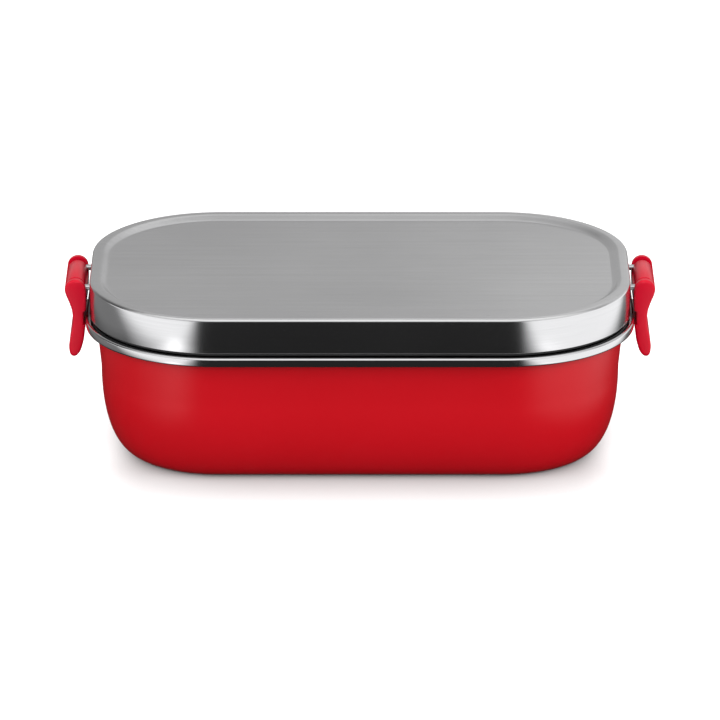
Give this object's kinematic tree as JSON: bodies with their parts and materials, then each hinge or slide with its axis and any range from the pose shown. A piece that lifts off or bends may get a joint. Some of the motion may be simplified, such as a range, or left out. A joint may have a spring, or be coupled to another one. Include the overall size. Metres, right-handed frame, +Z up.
{
  "type": "lunch box",
  "caption": "Rounded rectangular lunch box: steel tub in a red moulded shell, lift-off steel lid with a seal, held by swinging end latches.",
  "frame": {"origin": "middle of the flat underside, on the surface it stands on", "axes": "+X along the length towards the right latch, +Y towards the back, +Z up"},
  "size_m": [0.2176, 0.1288, 0.0657],
  "materials": {
    "lid_steel": "satin brushed along the length",
    "liner_steel": "bright rolled steel",
    "shell_red": "satin red moulded plastic",
    "latch_red": "glossy red moulded plastic",
    "seal_black": "matt black silicone",
    "bail_wire": "drawn steel wire"
  },
  "bodies": {
    "tub": {"tub_liner": "liner_steel", "outer_shell": "shell_red"},
    "lid": {"lid_shell": "lid_steel", "lid_inner_pan": "liner_steel", "lid_gasket": "seal_black", "left_bail": "bail_wire", "right_bail": "bail_wire", "left_bail_plate": "liner_steel", "right_bail_plate": "liner_steel"},
    "left_latch": {"left_latch_lever": "latch_red"},
    "right_latch": {"right_latch_lever": "latch_red"}
  },
  "joints": [
    {"name": "lid_lift", "type": "slide", "parent": "tub", "child": "lid", "axis": [0, 0, 1], "range_m": [0, 0.08]},
    {"name": "left_latch_swing", "type": "hinge", "parent": "lid", "child": "left_latch", "pos_m": [-0.1049, 0, 0.0605], "axis": [0, 1, 0], "range_deg": [-3, 150]},
    {"name": "right_latch_swing", "type": "hinge", "parent": "lid", "child": "right_latch", "pos_m": [0.1049, 0, 0.0605], "axis": [0, -1, 0], "range_deg": [-3, 150]}
  ]
}
